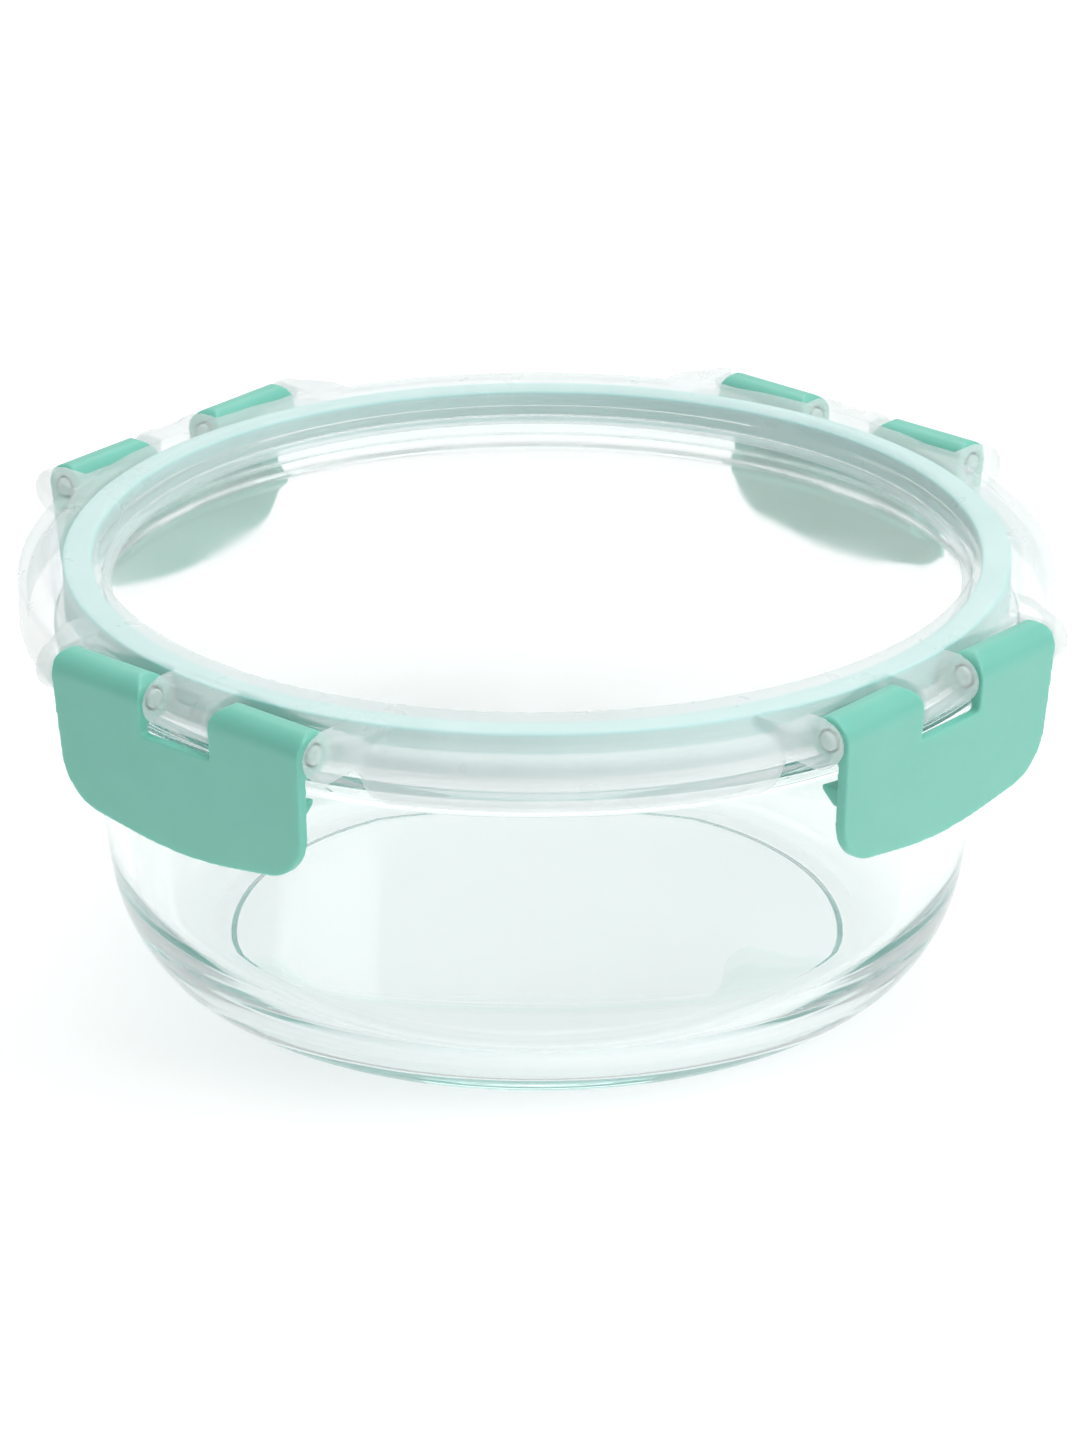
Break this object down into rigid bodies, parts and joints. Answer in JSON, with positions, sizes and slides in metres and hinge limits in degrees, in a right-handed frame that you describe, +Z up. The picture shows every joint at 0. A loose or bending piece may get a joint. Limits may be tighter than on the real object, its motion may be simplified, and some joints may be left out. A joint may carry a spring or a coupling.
{
  "type": "snap lid food container",
  "caption": "Round glass food bowl with a clip-down lid: clear window, sealing ring, finger tabs and hinged snap latches.",
  "frame": {"origin": "centre of the bowl's foot on the table", "axes": "+Z up along the bowl's axis; the latches face +X, +Y, -X and -Y"},
  "size_m": [0.1522, 0.1522, 0.0637],
  "materials": {
    "clear_glass": "polished clear borosilicate glass, faint aqua at the edges",
    "frosted_lid": "milky translucent polypropylene, satin",
    "clear_window": "clear plastic with a faint haze",
    "aqua_silicone": "soft satin silicone",
    "mint_latch": "satin polypropylene"
  },
  "bodies": {
    "bowl": {"glass_bowl": "clear_glass"},
    "lid": {"lid_frame": "frosted_lid", "lid_window": "clear_window", "seal_ring": "aqua_silicone"},
    "latch_right_body": {"latch_right": "mint_latch"},
    "latch_back_body": {"latch_back": "mint_latch"},
    "latch_left_body": {"latch_left": "mint_latch"},
    "latch_front_body": {"latch_front": "mint_latch"}
  },
  "joints": [
    {"name": "lid_lift", "type": "slide", "parent": "bowl", "child": "lid", "axis": [0, 0, 1], "range_m": [0, 0.06]},
    {"name": "latch_right_hinge", "type": "hinge", "parent": "lid", "child": "latch_right_body", "pos_m": [0.0727, 0, 0.0599], "axis": [0, -1, 0], "range_deg": [-5.5, 115]},
    {"name": "latch_back_hinge", "type": "hinge", "parent": "lid", "child": "latch_back_body", "pos_m": [0, 0.0727, 0.0599], "axis": [1, 0, 0], "range_deg": [-5.5, 115]},
    {"name": "latch_left_hinge", "type": "hinge", "parent": "lid", "child": "latch_left_body", "pos_m": [-0.0727, 0, 0.0599], "axis": [0, 1, 0], "range_deg": [-5.5, 115]},
    {"name": "latch_front_hinge", "type": "hinge", "parent": "lid", "child": "latch_front_body", "pos_m": [0, -0.0727, 0.0599], "axis": [-1, 0, 0], "range_deg": [-5.5, 115]}
  ]
}
